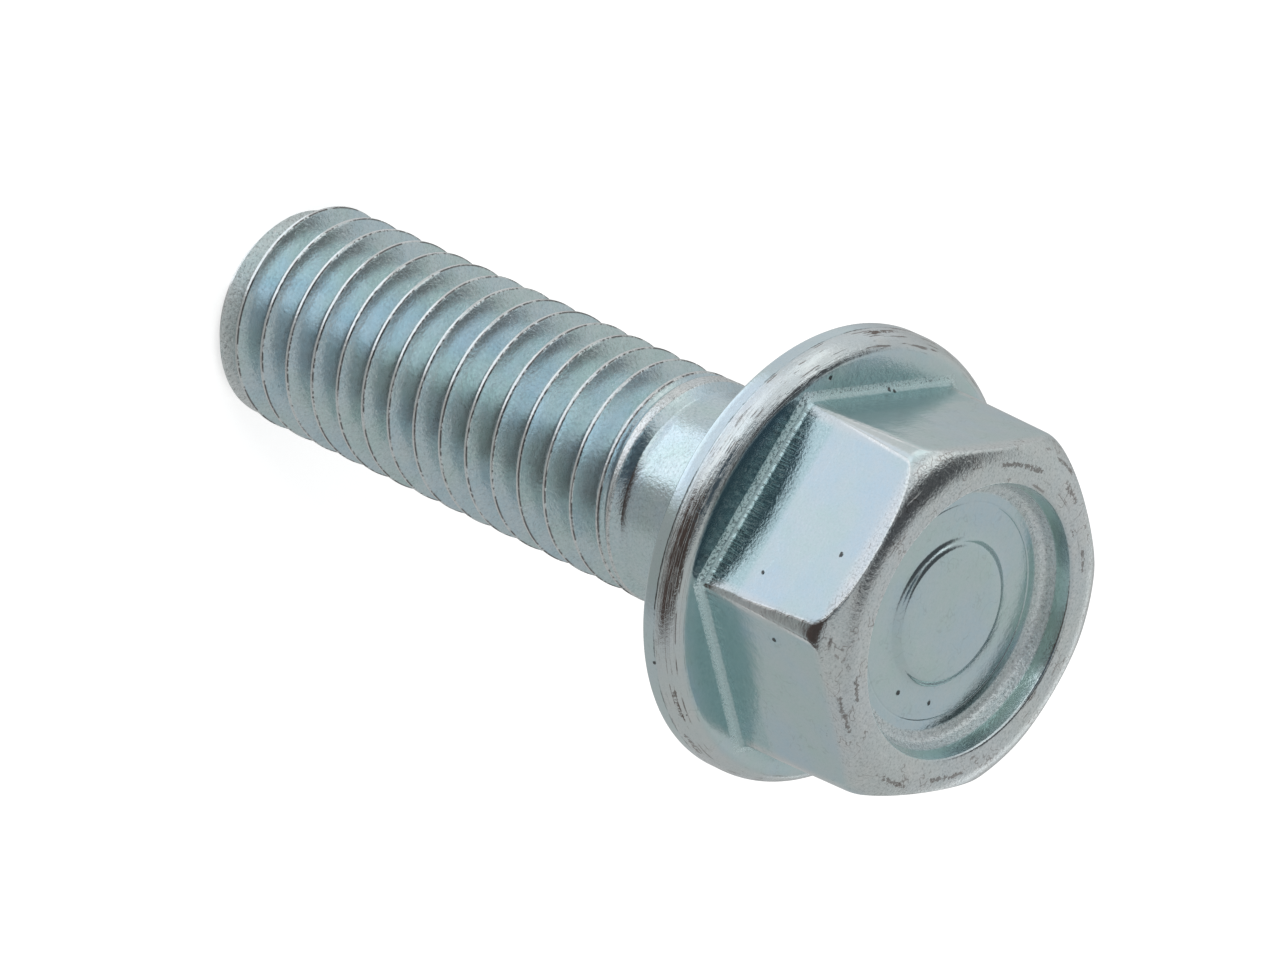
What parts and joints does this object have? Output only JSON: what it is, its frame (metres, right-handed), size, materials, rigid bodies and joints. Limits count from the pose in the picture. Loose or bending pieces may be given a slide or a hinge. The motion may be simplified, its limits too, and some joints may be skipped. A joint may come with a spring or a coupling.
{
  "type": "hexagon flange bolt",
  "caption": "Metric flange bolt with a hollowed hexagon head, a round flange and a partly threaded shank.",
  "frame": {"origin": "centre of the bearing face under the flange, on the bolt's axis", "axes": "+Z along the axis from the bearing face towards the head; +X through a corner of the hexagon"},
  "size_m": [0.0156, 0.0156, 0.0322],
  "materials": {
    "zinc_plated_steel": "bright zinc plating with a thin pale blue passivate"
  },
  "bodies": {
    "root": {"bolt": "zinc_plated_steel"}
  },
  "joints": []
}
